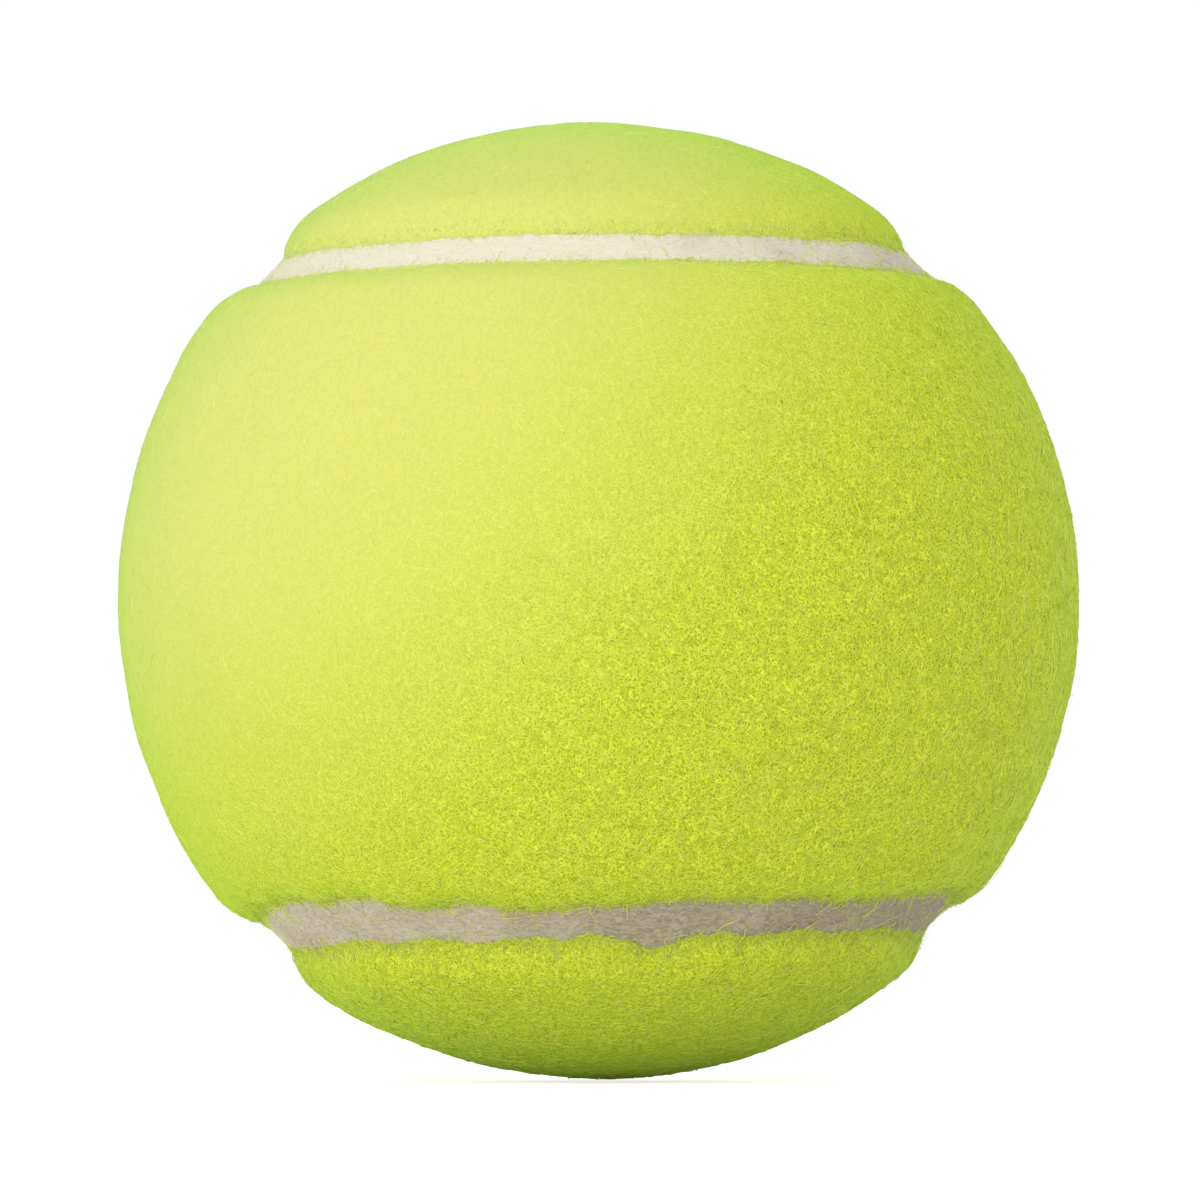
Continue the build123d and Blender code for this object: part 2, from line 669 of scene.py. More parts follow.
@dataclass(frozen=True)
class FeltFinish:
    """Ground of the felt: matted, curly strands of dyed wool over deeper gaps.

    Attributes:
        gap: Colour between the strands: the wool's deeper tone, with painted shade in the hollows.
        body: Colour of the strands underneath, darker than those on top partly as painted shade.
        crest: Colour of the strands on top.
        brushed_gap: Colour between the strands where the nap is brushed smooth, lighter as painted
            highlight.
        brushed: Colour of the strands there.
        pale_gap: Colour between the strands on the pale side, the upper left: painted highlight.
        pale: Colour of the strands there, painted highlight too.
        curls: Length of one curl of a strand, underneath and on top.
        widths: Half width of a strand, as a share of its curl's rise, underneath and on top.
        body_height: Height of the strands underneath, as a share of those on top.
        depth: Height of the strands on top.
    """

    gap: Colour = (0.385, 0.455, 0.010)
    body: Colour = (0.64, 0.725, 0.030)
    crest: Colour = (0.80, 0.875, 0.072)
    brushed_gap: Colour = (0.565, 0.665, 0.029)
    brushed: Colour = (0.655, 0.75, 0.049)
    pale_gap: Colour = (0.70, 0.735, 0.14)
    pale: Colour = (0.745, 0.775, 0.225)
    curls: tuple[float, float] = (0.00021, 0.000252)
    widths: tuple[float, float] = (0.16, 0.12)
    body_height: float = 0.5
    depth: float = 0.000012

    def make(self) -> Material:
        """The finish as a material."""
        graph = FinishGraph("felt_ground")
        places = graph.places()
        under = graph.strands(places, self.curls[0], self.widths[0], shift=0.1)
        over = graph.strands(places, self.curls[1], self.widths[1], shift=0.6)
        height = graph.maths("MAXIMUM", graph.maths("MULTIPLY", under, self.body_height), over)
        # Colour by strand height, darker down towards the gaps: partly the wool's own deeper tone, partly
        # painted shade in the hollows
        loose = graph.ramp(height, (0.0, self.gap), (self.body_height, self.body), (1.0, self.crest))
        smooth = graph.ramp(height, (0.0, self.brushed_gap), (1.0, self.brushed))
        pale = graph.ramp(height, (0.0, self.pale_gap), (1.0, self.pale))
        # Lighter, evener colour on the brushed upper left: partly smoother nap, partly painted highlight
        # where the light falls
        colour = graph.blend(graph.lay(places, BRUSHED_AND_HIGHLIGHT), loose, smooth)
        # Paler colour on the upper left, which faces the light: a painted highlight
        colour = graph.blend(graph.lay(places, PAINTED_HIGHLIGHT), colour, pale)
        normal = graph.bump(height, self.depth)
        return graph.dress({"Base Color": colour, "Normal": normal, "Roughness": 0.85, **NAP_GLOSS})


# Where the fibres' own map has the deepest and the palest shade, and a fibre's root and end
SHADES = (0.05, 0.95)
LENGTHS = (0.3, 0.7)


@dataclass(frozen=True)
class FibreFinish:
    """Single fibres of the nap, each with its own shade from deep to pale and a paler tip.

    Attributes:
        name: Name of the material.
        deep: Darkest shade.
        middle: Usual shade.
        pale: Lightest shade.
        tip: Colour that the ends fade towards.
        fade_start: Where on the fibres' map that starts.
        fade: How much of it would show at the map's end.
    """

    name: str = "nap_fibre"
    deep: Colour = (0.60, 0.70, 0.030)
    middle: Colour = (0.80, 0.885, 0.088)
    pale: Colour = (0.755, 0.78, 0.33)
    tip: Colour = (0.81, 0.84, 0.28)
    fade_start: float = 0.4
    fade: float = 0.35

    def make(self) -> Material:
        """The finish as a material that reads shade and length from the fibres' own map."""
        graph = FinishGraph(self.name)
        across, along, _ = graph.add("SeparateXYZ", {0: graph.chart(BAKE_MAP)}).outputs
        low, high = SHADES
        shade = graph.ramp(across, (low, self.deep), (0.5, self.middle), (high, self.pale))
        fade = graph.ramp(along, (self.fade_start, grey(0.0)), (1.0, grey(self.fade)))
        colour = graph.blend(fade, shade, self.tip)
        return graph.dress({"Base Color": colour, "Roughness": 0.8, **NAP_GLOSS})


LOOSE_FIBRE = FibreFinish(
    name="loose_fibre",
    deep=(0.88, 0.96, 0.06),
    middle=(0.92, 0.99, 0.11),
    pale=(0.89, 0.92, 0.34),
    tip=(0.92, 0.98, 0.16),
)


@dataclass(frozen=True)
class SeamFinish:
    """Seam rubber: pale warm grey, duller underneath, with fine streaks along it and dark specks.

    Attributes:
        pale: Colour of the palest rubber.
        half_dull: Colour of the rubber that is a little duller.
        dull: Colour of the dullest rubber.
        groove: Tint of the grooves between streaks.
        speck: Colour of specks.
        streak: Length of a streak.
        grain: Width of a streak.
        slant: How far the streaks run across the seam, in degrees.
        depth: Height of the streaks.
        dulling: How much duller it gets along each axis, in each metre: towards the right and the bottom.
        cloud: Length of a soiled patch.
    """

    pale: Colour = (0.86, 0.815, 0.67)
    half_dull: Colour = (0.70, 0.61, 0.54)
    dull: Colour = (0.485, 0.40, 0.33)
    groove: Colour = (0.62, 0.59, 0.56)
    speck: Colour = (0.30, 0.26, 0.20)
    streak: float = 0.0005
    grain: float = 0.00016
    slant: float = 12.0
    depth: float = 0.00003
    dulling: tuple[float, float, float] = (12.0, 0.0, -14.0)
    cloud: float = 0.009

    def make(self) -> Material:
        """The finish as a material."""
        graph = FinishGraph("seam_rubber_face")
        places = graph.places()
        course = {
            "Vector": graph.chart(COURSE_MAP),
            "Rotation": (0.0, 0.0, radians(self.slant)),
            "Scale": (1 / self.streak, 1 / self.grain, 1.0),
        }
        streaks = graph.noise(graph.add("Mapping", course).outputs["Vector"], 1.0, detail=3.0, warp=1.2)
        cloud = graph.noise(places, self.cloud, detail=3.0, shift=0.9)
        # Duller and darker towards the right and the bottom, and in random patches
        dullness = graph.maths("ADD", cloud, graph.toward(places, self.dulling))
        base = graph.ramp(dullness, (0.25, self.pale), (0.6, self.half_dull), (1.0, self.dull))
        tone = graph.ramp(streaks, (0.35, self.groove), (0.62, WHITE))
        rough = graph.ramp(dullness, (0.3, grey(0.25)), (0.9, WHITE))
        tint = graph.blend(rough, base, graph.blend(1.0, base, tone, "MULTIPLY"))
        dots = graph.noise(places, 2.0 * self.grain, shift=1.7)
        specks = graph.ramp(dots, (0.72, grey(0.0)), (0.78, grey(0.7)))
        colour = graph.blend(graph.blend(1.0, specks, rough, "MULTIPLY"), tint, self.speck)
        normal = graph.bump(streaks, self.depth)
        gloss = {"Roughness": 0.85, "Specular IOR Level": 0.3}
        return graph.dress({"Base Color": colour, "Normal": normal, **gloss})


@dataclass(frozen=True)
class MouldedRubberFinish:
    """Core rubber: black, matt from the mould, with a bloom of grey dust.

    Attributes:
        dark: Colour of the rubber.
        bloom: Colour of the dust on it.
        patch: Length of a patch of dust.
        grain: Length of the mould's grain.
        depth: Height of the grain.
    """

    dark: Colour = (0.030, 0.030, 0.032)
    bloom: Colour = (0.085, 0.083, 0.080)
    patch: float = 0.0084
    grain: float = 0.0006
    depth: float = 0.00008

    def make(self) -> Material:
        """The finish as a material."""
        graph = FinishGraph("core_rubber_moulded")
        places = graph.places()
        dust = graph.noise(places, self.patch, detail=4.0, shift=0.2)
        colour = graph.ramp(dust, (0.35, self.dark), (0.75, self.bloom))
        normal = graph.bump(graph.noise(places, self.grain, detail=2.0, shift=0.8), self.depth)
        gloss = {"Roughness": 0.7, "Specular IOR Level": 0.4}
        return graph.dress({"Base Color": colour, "Normal": normal, **gloss})


@dataclass(frozen=True)
class CementFinish:
    """Rubber cement: a dried tan film with brush marks.

    Attributes:
        thin: Colour where the film is thin.
        thick: Colour where it has gathered.
        streak: Length of a brush mark.
        depth: Height of the brush marks.
    """

    thin: Colour = (0.36, 0.29, 0.19)
    thick: Colour = (0.52, 0.43, 0.29)
    streak: float = 0.003
    depth: float = 0.00005

    def make(self) -> Material:
        """The finish as a material."""
        graph = FinishGraph("rubber_cement_film")
        film = graph.noise(graph.places(), self.streak, detail=3.0, shift=0.5, warp=1.5)
        colour = graph.ramp(film, (0.3, self.thin), (0.7, self.thick))
        gloss = {"Roughness": 0.45, "Specular IOR Level": 0.5}
        return graph.dress({"Base Color": colour, "Normal": graph.bump(film, self.depth), **gloss})


@dataclass
class FeltCover:
    """One felt panel: a closed dumbbell of felt with rolled, wavy edges.

    Attributes:
        shape: The ball.
        panel: Which of the two panels it is.
        finish: Material of the ground.
        neck_steps: Steps along the neck, from side to side.
        lobe_steps: Steps round the outside of each lobe.
        edge_steps: Steps from the middle line out to each edge.
        crowding: Power that brings these steps closer together towards the edge.
    """

    shape: BallShape
    panel: Panel
    finish: Material
    neck_steps: int = 220
    lobe_steps: int = 170
    edge_steps: int = 60
    crowding: float = 1.2

    def turned(self, ways: Array) -> Array:
        """Directions of a panel that faces the front, turned to this panel's place."""
        x, y, z = ways.T
        return ways if self.panel is Panel.FRONT else np.stack([z, -y, x], 1)

    def edge_reach(self, ways: Array) -> Array:
        """Angle from the panel's middle line, or a lobe's middle, out to its edge at each direction."""
        edge = self.shape.edge_angle(self.turned(ways), self.panel)
        return edge if self.panel is Panel.FRONT else pi / 2 - edge

    @staticmethod
    def neck(turns: Array, heights: Array) -> Array:
        """Directions on the neck, by their turn from the front and their angle from the middle line."""
        level = np.cos(heights)
        return np.stack([level * np.sin(turns), -level * np.cos(turns), np.sin(heights)], -1)

    @staticmethod
    def lobe(side: int, turns: Array, slants: Array) -> Array:
        """Directions on the lobe at a side, 1 or -1, by their turn round its middle and angle from it."""
        away = np.sin(slants)
        flat = np.broadcast_to(side * np.cos(slants), turns.shape)
        return np.stack([flat, away * np.sin(turns), away * np.cos(turns)], -1)

    def ways(self) -> tuple[Array, Array, Array, Array]:
        """Lays out the panel as a neck and two lobes that share the neck's end columns.

        Returns:
            Directions of the vertices, the quads, the triangles round the lobes' middles, and the
            loop of vertices along the edge.
        """
        steps = self.edge_steps
        front, rear = self.shape.edges
        reach = (front + pi / 2 - rear) / 2
        spread = 1 - (1 - np.arange(steps + 1) / steps) ** self.crowding
        across = np.concatenate([-spread[:0:-1], spread])
        along = np.linspace(-pi / 2, pi / 2, self.neck_steps + 1)
        heights = np.empty((len(along), len(across)))
        for sign in (-1, 1):
            edge = self.edge_reach(self.neck(along, np.full_like(along, sign * reach)))
            part = across * sign > 0
            heights[:, part] = across[part] * edge[:, None]
        heights[:, steps] = 0
        parts = [self.neck(np.broadcast_to(along[:, None], heights.shape), heights).reshape(-1, 3)]
        number = np.arange(heights.size).reshape(heights.shape)
        quads, triangles, rims = [grid_quads(number)], [], []
        turns = np.linspace(0, pi, self.lobe_steps + 1)[1:-1]
        first = number.size
        for side, end in ((1, len(along) - 1), (-1, 0)):
            edge = self.edge_reach(self.lobe(side, turns, np.full_like(turns, reach)))
            slants = spread[1:] * edge[:, None]
            lobe = self.lobe(side, np.broadcast_to(turns[:, None], slants.shape), slants)
            parts.append(lobe.reshape(-1, 3))
            fan = np.arange(first, first + slants.size).reshape(slants.shape)
            first += slants.size
            fan = np.vstack([number[end, steps + 1 :], fan, number[end, steps - 1 :: -1]])
            quads.append(grid_quads(fan))
            middle = np.full(len(fan) - 1, number[end, steps])
            triangles.append(np.stack([middle, fan[:-1, 0], fan[1:, 0]], 1))
            rims.append(fan[1:-1, -1])
        loop = np.concatenate([number[:, -1], rims[0], number[::-1, 0], rims[1][::-1]])
        ways = self.turned(np.concatenate(parts))
        return ways, np.concatenate(quads), np.concatenate(triangles), loop

    def build(self) -> Piece:
        """Makes the panel in place of its CAD node, and hides that node.

        Returns:
            The piece.
        """
        ways, quads, triangles, loop = self.ways()
        outside = ways * self.shape.felt_radius(ways, self.panel)[:, None]
        inside = ways * self.shape.felt_back_radius
        count = len(ways)
        ahead = np.roll(loop, -1)
        wall = np.stack([loop, ahead, ahead + count, loop + count], 1)
        mesh = new_mesh(
            f"felt_cover_{self.panel.value}",
            np.concatenate([outside, inside]),
            np.concatenate([quads, quads[:, ::-1] + count, wall]),
            np.concatenate([triangles, triangles[:, ::-1] + count]),
        )
        face_outwards(mesh)
        piece = add_piece(mesh, self.finish)
        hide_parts(f"felt_panel_{self.panel.value}")
        return piece


@dataclass(frozen=True)
class StrandStyle:
    """How one kind of fibre grows.

    Attributes:
        length: Middle length.
        spread: Spread of the lengths, as a log.
        radius: Thickness, from the middle out.
        lift: Usual height of its arch over the ground.
        curl: How far it turns along its length, in radians.
        bends: Number of rings between its two tips.
        shade: Lowest and highest shade, from 0, deep, to 1, pale.
    """

    length: float
    spread: float
    radius: float
    lift: float
    curl: float
    bends: int
    shade: tuple[float, float]


NAP = StrandStyle(
    length=0.0011, spread=0.40, radius=0.000045, lift=0.00003, curl=2.0, bends=3, shade=(0.1, 0.65)
)
STRAY = StrandStyle(
    length=0.0030, spread=0.35, radius=0.000032, lift=0.00007, curl=1.5, bends=9, shade=(0.25, 0.75)
)
# Fibres that lean over the seam are paler than the nap: partly the fringe's own pale fibres, partly
# painted light over the shade of the rolled edge
EDGE = StrandStyle(
    length=0.0008, spread=0.50, radius=0.000030, lift=0.00008, curl=2.2, bends=3, shade=(0.3, 0.85)
)
FUZZ = StrandStyle(
    length=0.0005, spread=0.35, radius=0.000013, lift=0.00014, curl=1.6, bends=2, shade=(0.4, 0.9)
)
LINT = StrandStyle(
    length=0.0009, spread=0.50, radius=0.000022, lift=0.00003, curl=1.8, bends=3, shade=(0.2, 0.8)
)


@dataclass(frozen=True)
class Growth:
    """What all kinds of fibres have in common.

    Attributes:
        sides: Sides of a fibre.
        roundness: How round it shades, from 0, like the ground that it lies on, to 1.
        thickness: Thinnest and thickest fibre, in radii.
        taper: Share of the thickness that is gone at the far end.
        scatter: How far roots stray from an even spread, in steps between them.
        pole: Axis about which headings are counted.
        flow: How the direction of the nap turns over the ball, in radians.
        comb: How far headings stray from it, in radians.
        edge_comb: How many times further they stray beside the seam.
        sway: Share of the curl that bends a fibre to and fro.
        lift_spread: Spread of the arches' heights, as a log.
        fall: Least and largest part of the arch that a fibre runs through.
        lean: Power that moves the top of the arch towards the root.
        root_depth: How deep the root lies, in lifts.
        calm_curl: Share of the curl that is gone where the nap is brushed.
        calm_lift: Share of the lift that is gone there.
        calm_sink: How far a fibre sinks in there, in radii.
        calm_shade: How far its shade goes to the middle there.
        pale_shade: Shade that it goes towards on the pale upper left, which faces the light: a painted
            highlight.
        pale_share: How far it goes there.
        map_step: Width on the fibres' map from one side of a fibre to the next.
    """

    sides: int = 3
    roundness: float = 0.4
    thickness: tuple[float, float] = (0.7, 1.3)
    taper: float = 0.45
    scatter: float = 0.5
    pole: tuple[float, float, float] = (0.13, 0.08, 1.0)
    flow: Relief = Relief((1.6,), (0.03,), seed=71)
    comb: float = 0.9
    edge_comb: float = 1.4
    sway: float = 0.5
    lift_spread: float = 0.5
    fall: tuple[float, float] = (0.5, 1.0)
    lean: float = 0.8
    root_depth: float = 0.35
    calm_curl: float = 0.5
    calm_lift: float = 0.8
    calm_sink: float = 0.5
    calm_shade: float = 0.7
    pale_shade: float = 0.95
    pale_share: float = 0.85
    map_step: float = 0.004


@dataclass
class FibreCoat:
    """Fibres of one kind, as closed three-sided tubes that taper to the far end.

    Attributes:
        name: Name of the piece.
        shape: The ball.
        style: How the fibres grow.
        finish: Their material.
        seed: Start of the random draw.
        growth: What they share with the other kinds.
        rng: The random draw.
    """

    name: str
    shape: BallShape
    style: StrandStyle
    finish: Material
    seed: int
    growth: Growth = Growth()
    rng: np.random.Generator = field(init=False)

    def __post_init__(self) -> None:
        """Starts the random draw."""
        self.rng = np.random.default_rng(self.seed)

    def roots(self, count: int, nearest: float, furthest: float, panel: Panel) -> Array:
        """Spreads places evenly over a panel, or a strip of it.

        Args:
            count: How many places would cover the whole ball.
            nearest: Least distance from the panel's edge.
            furthest: Largest distance from the edge.
            panel: The panel.

        Returns:
            Directions of the places.
        """
        number = np.arange(count) + 0.5
        height = 1 - 2 * number / count
        turn = GOLDEN_TURN * number
        level = np.sqrt(1 - height**2)
        ways = np.stack([level * np.cos(turn), level * np.sin(turn), height], 1)
        turned, _ = np.linalg.qr(self.rng.normal(size=(3, 3)))
        astray = self.rng.normal(size=ways.shape) * self.growth.scatter * sqrt(4 * pi / count)
        ways = unit(ways @ turned + astray)
        inset = self.shape.inset(ways, panel)
        return ways[(inset > nearest) & (inset < furthest)]

    def roots_on_seam(self, count: int) -> Array:
        """Spreads places over the bare seam, as dense as count places on the whole ball."""
        ways = unit(self.rng.normal(size=(count, 3)))
        bare = [self.shape.inset(ways, panel) < 0 for panel in Panel]
        return ways[bare[0] & bare[1]]

    def bearings(self, roots: Array) -> tuple[Array, Array]:
        """The direction that headings are counted from at each root, and the one a quarter turn on."""
        east = unit(np.cross(self.growth.pole, roots))
        return east, np.cross(roots, east)

    def brushed(self, roots: Array) -> Array:
        """Headings that follow the nap, more or less."""
        flow = self.growth.flow.at(roots * self.shape.ball_radius)
        return flow + self.growth.comb * self.rng.normal(size=len(roots))

    def towards_seam(self, roots: Array) -> Array:
        """Headings that lean over the panel's edge, to the seam."""
        east, north = self.bearings(roots)
        foot = self.shape.seam_foot(roots) - self.shape.ball_radius * roots
        way = np.arctan2((foot * north).sum(1), (foot * east).sum(1))
        return way + self.growth.edge_comb * self.growth.comb * self.rng.normal(size=len(roots))

    def paths(self, roots: Array, headings: Array) -> tuple[Array, Array]:
        """Grows a fibre from each root over the ball's surface.

        Args:
            roots: Directions of the roots.
            headings: Angles at which they set out.

        Returns:
            Points along each fibre, counted by fibre, point and coordinate, and the way that the
            ground faces under each of them.
        """
        style, growth, rng, count = self.style, self.growth, self.rng, len(roots)
        points = style.bends + 2
        east, north = self.bearings(roots)
        length = style.length * np.exp(style.spread * rng.normal(size=count))
        share = np.linspace(0, 1, points)
        calm = BRUSHED_AND_HIGHLIGHT.at(roots * self.shape.ball_radius)[:, None]
        curl = style.curl * (1 - growth.calm_curl * calm)
        turn = curl * rng.normal(size=(count, 1)) * share
        sway = growth.sway * curl * rng.normal(size=(count, 1))
        phase = rng.uniform(0, 2 * pi, (count, 1))
        angle = headings[:, None] + turn + sway * np.sin(2 * pi * share + phase)
        step = length[:, None] / (points - 1)
        ahead = np.cumsum(np.cos(angle) * step, 1) - np.cos(angle[:, :1]) * step
        aside = np.cumsum(np.sin(angle) * step, 1) - np.sin(angle[:, :1]) * step
        ways = roots[:, None] * self.shape.ball_radius + ahead[..., None] * east[:, None]
        ways = unit(ways + aside[..., None] * north[:, None])
        ground, facing = self.shape.skin(ways.reshape(-1, 3))
        ground, facing = ground.reshape(count, points, 1), facing.reshape(ways.shape)
        lift = style.lift * np.exp(growth.lift_spread * rng.normal(size=(count, 1)))
        lift = lift * (1 - growth.calm_lift * calm)
        fall = rng.uniform(*growth.fall, (count, 1))
        arch = lift * np.sin(pi * fall * share**growth.lean)
        arch -= growth.root_depth * style.lift * (1 - share) ** 3
        arch -= growth.calm_sink * style.radius * calm
        return ways * ground + facing * arch[..., None], facing

    def build(self, roots: Array, headings: Array) -> Piece:
        """Makes the fibres.

        Args:
            roots: Directions of the roots.
            headings: Angles at which they set out.

        Returns:
            The piece.
        """
        growth, sides = self.growth, self.growth.sides
        paths, ground = self.paths(roots, headings)
        count, points = paths.shape[:2]
        ahead = unit(np.gradient(paths, axis=1))
        outward = unit(ground - (ground * ahead).sum(-1, keepdims=True) * ahead)
        beside = np.cross(ahead, outward)
        share = np.linspace(0, 1, points)
        thick = self.style.radius * self.rng.uniform(*growth.thickness, (count, 1))
        thick = thick * (1 - growth.taper * share)
        ridges = []
        for side in range(sides):
            angle = 2 * pi * side / sides + pi / 2
            ridges.append(cos(angle) * beside[:, 1:-1] + sin(angle) * outward[:, 1:-1])
        ridges = np.stack(ridges, 2)
        rings = paths[:, 1:-1, None] + ridges * thick[:, 1:-1, None, None]
        vertices = self.with_tips(paths, rings)
        around = self.with_tips(ground, np.repeat(ground[:, 1:-1], sides, 1))
        facing = (unit(vertices) + around) / 2 * (1 - growth.roundness)
        facing = unit(facing + self.with_tips(outward, ridges) * growth.roundness)
        each = vertices.shape[1]
        numbers = (np.arange(count) * each)[:, None, None] + self.faces(points - 2)
        mesh = new_mesh(self.name, vertices.reshape(-1, 3), numbers.reshape(-1, 3))
        mesh.normals_split_custom_set_from_vertices(facing.reshape(-1, 3).tolist())
        self.chart(mesh, roots, points, numbers.reshape(-1) % each)
        return add_piece(mesh, self.finish)

    @staticmethod
    def with_tips(points: Array, rings: Array) -> Array:
        """What the vertices of each fibre have: a value at its root, those of its rings, and its end."""
        return np.concatenate([points[:, :1], rings.reshape(len(points), -1, 3), points[:, -1:]], 1)

    def faces(self, rings: int) -> Array:
        """Triangles of one fibre: a tip, its rings and the other tip."""
        sides = self.growth.sides
        end = 1 + rings * sides
        last = end - sides
        faces = []
        for side in range(sides):
            after = (side + 1) % sides
            faces.append((0, 1 + side, 1 + after))
            for ring in range(rings - 1):
                a, b = 1 + ring * sides + side, 1 + ring * sides + after
                faces += [(a, b + sides, b), (a, a + sides, b + sides)]
            faces.append((last + after, last + side, end))
        return np.array(faces)

    def chart(self, mesh: Mesh, roots: Array, points: int, corners: Array) -> None:
        """Gives each fibre its shade across and its length along, on a map of its own.

        Args:
            mesh: The fibres.
            roots: Directions of their roots.
            points: Points along each fibre.
            corners: For each face corner, its vertex within the fibre.
        """
        growth, count = self.growth, len(roots)
        low, high = self.style.shade
        places = roots * self.shape.ball_radius
        shade = self.rng.uniform(low, high, count)
        # Evener shade on the brushed upper left: partly smoother nap, partly painted highlight where the
        # light falls
        shade += growth.calm_shade * BRUSHED_AND_HIGHLIGHT.at(places) * ((low + high) / 2 - shade)
        # Paler shade on the upper left, which faces the light: a painted highlight
        shade += growth.pale_share * PAINTED_HIGHLIGHT.at(places) * (growth.pale_shade - shade)
        shade = np.interp(shade, (0, 1), SHADES)
        around = np.concatenate([[1], np.tile(np.arange(growth.sides), points - 2), [1]])
        across = np.repeat(shade, len(corners) // count) + growth.map_step * around[corners]
        rings = np.repeat(np.arange(1, points - 1), growth.sides)
        along = np.concatenate([[0], rings, [points - 1]]) / (points - 1)
        add_map(mesh, BAKE_MAP, across, np.interp(along, (0, 1), LENGTHS)[corners])


@dataclass
class SeamBand:
    """The endless band of seam rubber between the two wavy felt edges.

    Attributes:
        shape: The ball.
        finish: Its material.
        arc_steps: Steps along each of its four half circles.
        across_steps: Steps from edge to edge.
    """

    shape: BallShape
    finish: Material
    arc_steps: int = 260
    across_steps: int = 20

    def ways(self, arc: SeamArc, angles: Array) -> Array:
        """Directions on one of the half circles.

        Args:
            arc: Which one.
            angles: Section angles, one row for each step and one column for each place across.

        Returns:
            Directions, counted by step, place across and coordinate.
        """
        turn = np.linspace(0, pi, self.arc_steps, endpoint=False)[:, None]
        side = 1 if arc in (SeamArc.UPPER_FRONT, SeamArc.RIGHT_BACK) else -1
        high, level = np.sin(angles), np.cos(angles)
        if arc in (SeamArc.UPPER_FRONT, SeamArc.LOWER_FRONT):
            parts = [side * level * np.cos(turn), -level * np.sin(turn), side * high]
        else:
            parts = [side * level, high * np.sin(turn), -side * high * np.cos(turn)]
        return np.stack(parts, -1)

    def build(self) -> Piece:
        """Makes the band in place of its CAD node, and hides that node.

        Returns:
            The piece.
        """
        shape = self.shape
        share = np.linspace(0, 1, self.across_steps + 1)
        strips = []
        for arc in SeamArc:
            middle = self.ways(arc, np.full((self.arc_steps, 1), shape.seam_angle)).reshape(-1, 3)
            low, high = (shape.edge_angle(middle, panel)[:, None] for panel in Panel)
            strips.append(self.ways(arc, low + (high - low) * share))
        ways = np.concatenate(strips)
        face = ways * shape.seam_face(ways.reshape(-1, 3)).reshape(*ways.shape[:2], 1)
        foot = ways[:, [-1, 0]] * shape.core_radius
        ring = np.concatenate([face, foot], 1)
        steps, width = ring.shape[:2]
        number = np.arange(steps * width).reshape(steps, width)
        closed = np.concatenate([number, number[:1]])
        closed = np.concatenate([closed, closed[:, :1]], 1)
        mesh = new_mesh("seam_band", ring.reshape(-1, 3), grid_quads(closed))
        face_outwards(mesh)
        self.chart(mesh, width)
        piece = add_piece(mesh, self.finish)
        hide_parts("seam_rubber")
        return piece

    def chart(self, mesh: Mesh, width: int) -> None:
        """Maps the band's length and width, in metres, for the streaks.

        Args:
            mesh: The band.
            width: Vertices in each ring.
        """
        shape = self.shape
        front, rear = shape.edges
        corners = np.empty(len(mesh.loops), np.int32)
        mesh.loops.foreach_get("vertex_index", corners)
        arc = pi * cos(shape.seam_angle) * shape.seam_radius
        along = (corners // width) * (arc / self.arc_steps)
        across = (corners % width) * ((rear - front) / self.across_steps) * shape.seam_radius
        add_map(mesh, COURSE_MAP, along, across)


@dataclass
class Core:
    """The hidden pieces: the core's half shells and the cement that joins everything.

    Attributes:
        rubber: Material of the half shells.
        cement: Material of the cement.
    """

    rubber: Material
    cement: Material

    def dress(self) -> None:
        """Gives each carried-over CAD node its finish."""
        for name in ("core_half_upper", "core_half_lower"):
            self.paint(name, self.rubber)
        for name in ("core_joint_cement", "panel_cement_front", "panel_cement_rear"):
            self.paint(name, self.cement)

    @staticmethod
    def paint(name: str, material: Material) -> None:
        """Puts a material in every slot of a CAD node."""
        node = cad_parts[name]
        for slot in node.material_slots:
            slot.material = material
        log.info("%s: %s", name, material.name)


@dataclass(frozen=True)
class SoftLight:
    """A square studio light that faces the ball.

    Attributes:
        name: Name of the light.
        azimuth: Degrees to the right of the viewer.
        elevation: Degrees above the horizon.
        distance: From the ball's centre.
        size: Length of its side.
        power: In watts.
        colour: Its tint.
    """

    name: str
    azimuth: float
    elevation: float
    distance: float
    size: float
    power: float
    colour: Colour

    def hang(self) -> None:
        """Puts the light in the scene."""
        data = bpy.data.lights.new(self.name, "AREA")
        data.size = self.size
        data.energy = self.power
        data.color = self.colour
        aim(add_object(data), self.distance * from_viewer(self.azimuth, self.elevation))


KEY_LIGHT = SoftLight(
    name="key_light",
    azimuth=-33,
    elevation=6,
    distance=1.0,
    size=0.24,
    power=2.2,
    colour=(1.0, 0.97, 0.93),
)


